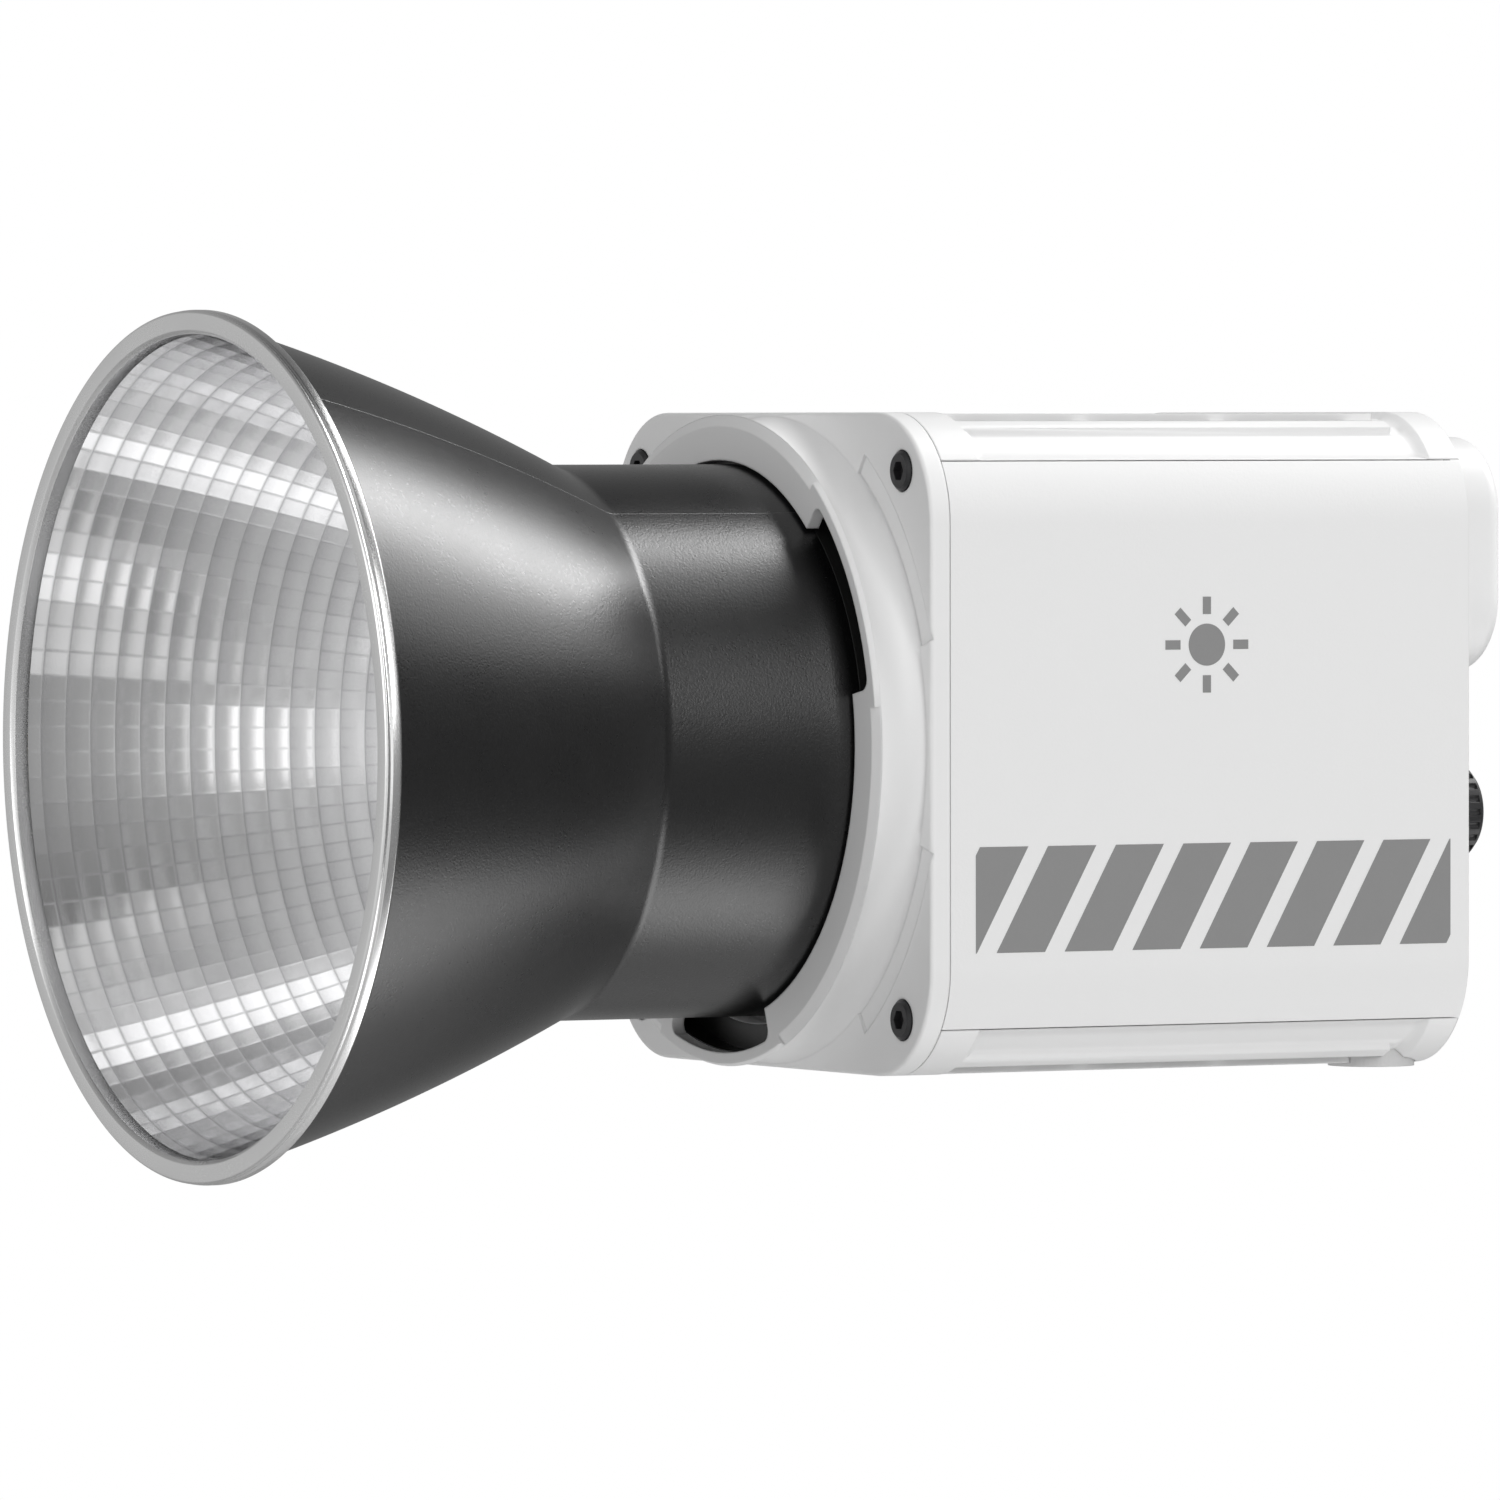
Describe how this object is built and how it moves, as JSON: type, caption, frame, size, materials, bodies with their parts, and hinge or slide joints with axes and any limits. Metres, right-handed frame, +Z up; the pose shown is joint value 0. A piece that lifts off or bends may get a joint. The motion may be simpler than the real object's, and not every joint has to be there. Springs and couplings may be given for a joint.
{
  "type": "led monolight",
  "caption": "Compact continuous LED monolight: square louvred head, bayonet collar, round hard reflector, rear display, knobs and stand thread.",
  "frame": {"origin": "mouth of the stand thread, in the middle of the head's underside", "axes": "+Z up out of the head, -Y the way the light shines, +X the operator's left"},
  "size_m": [0.119, 0.1869, 0.119],
  "materials": {
    "case_white": "fine textured powder coat",
    "housing_white": "satin",
    "foot": "matte",
    "screw_black": "black oxide",
    "display_glass": "gloss",
    "module": "matte",
    "knob_black": "satin, knurled",
    "button_grey": "satin",
    "rocker_black": "gloss",
    "inner_plastic": "matte",
    "steel": "satin",
    "brass": "satin",
    "board": "solder mask",
    "component_black": "matte",
    "aluminium": "satin",
    "copper": "copper, satin",
    "clear_glass": "clear",
    "seal": "matte",
    "funnel_white": "matte",
    "led_substrate": "matte",
    "phosphor": "matte",
    "block_metal": "satin",
    "shell_black": "semi-gloss black",
    "ring_black": "matte black",
    "bright_silver": "bright, dimpled",
    "rim_silver": "satin"
  },
  "bodies": {
    "head": {"front_plate": "case_white", "front_screws": "screw_black", "left_side_panel": "case_white", "right_side_panel": "case_white", "top_cover": "case_white", "bottom_cover": "case_white", "rear_feet": "foot", "rear_panel": "case_white", "rear_screws": "screw_black", "display_housing": "housing_white", "display_glass": "display_glass", "display_module": "module", "encoders": "steel", "tact_switches": "inner_plastic", "switch_housing": "inner_plastic", "dc_inlet": "inner_plastic", "dc_pin": "steel", "usb_port": "steel", "control_board": "board", "board_spacers": "brass", "corner_posts": "aluminium", "chassis_plate": "aluminium", "protective_glass": "clear_glass", "glass_seal": "seal", "light_funnel": "funnel_white", "led_holder": "funnel_white", "cob_led": "led_substrate", "phosphor": "phosphor", "heat_pipes": "copper", "heat_sink_fins": "aluminium", "fan_frame": "inner_plastic", "fan_screws": "screw_black", "driver_board": "board", "driver_components": "component_black", "stand_block": "block_metal", "stand_block_screws": "screw_black", "bayonet_springs": "steel"},
    "reflector": {"reflector_shell": "shell_black", "reflector_liner": "bright_silver", "rim_ring": "rim_silver", "bayonet_ring": "ring_black"},
    "fan": {"fan_rotor": "inner_plastic"},
    "brightness_press": {"brightness_plunger": "inner_plastic"},
    "brightness_turn": {"brightness_knob": "knob_black", "brightness_shaft": "steel"},
    "colour_press": {"colour_plunger": "inner_plastic"},
    "colour_turn": {"colour_knob": "knob_black", "colour_shaft": "steel"},
    "button_1": {"button_1": "button_grey"},
    "button_2": {"button_2": "button_grey"},
    "button_3": {"button_3": "button_grey"},
    "button_4": {"button_4": "button_grey"},
    "rocker": {"power_rocker": "rocker_black"}
  },
  "joints": [
    {"name": "reflector_twist", "type": "hinge", "parent": "head", "child": "reflector", "pos_m": [0, -0.045, 0.0455], "axis": [0, -1, 0], "range_deg": [0, 60]},
    {"name": "fan_spin", "type": "hinge", "parent": "head", "child": "fan", "pos_m": [0, 0.024, 0.0455], "axis": [0, 1, 0], "continuous": true},
    {"name": "brightness_press", "type": "slide", "parent": "head", "child": "brightness_press", "axis": [0, -1, 0], "range_m": [0, 0.0005], "stiffness_N_per_m": 3000},
    {"name": "brightness_turn", "type": "hinge", "parent": "brightness_press", "child": "brightness_turn", "pos_m": [0.027, 0.05, 0.0349], "axis": [0, 1, 0], "continuous": true},
    {"name": "colour_press", "type": "slide", "parent": "head", "child": "colour_press", "axis": [0, -1, 0], "range_m": [0, 0.0005], "stiffness_N_per_m": 3000},
    {"name": "colour_turn", "type": "hinge", "parent": "colour_press", "child": "colour_turn", "pos_m": [-0.027, 0.05, 0.0349], "axis": [0, 1, 0], "continuous": true},
    {"name": "button_1_press", "type": "slide", "parent": "head", "child": "button_1", "axis": [0, -1, 0], "range_m": [0, 0.0006], "stiffness_N_per_m": 1500},
    {"name": "button_2_press", "type": "slide", "parent": "head", "child": "button_2", "axis": [0, -1, 0], "range_m": [0, 0.0006], "stiffness_N_per_m": 1500},
    {"name": "button_3_press", "type": "slide", "parent": "head", "child": "button_3", "axis": [0, -1, 0], "range_m": [0, 0.0006], "stiffness_N_per_m": 1500},
    {"name": "button_4_press", "type": "slide", "parent": "head", "child": "button_4", "axis": [0, -1, 0], "range_m": [0, 0.0006], "stiffness_N_per_m": 1500},
    {"name": "power_rock", "type": "hinge", "parent": "head", "child": "rocker", "pos_m": [-0.024, 0.0435, 0.0165], "axis": [0, 0, 1], "range_deg": [0, 14]}
  ]
}
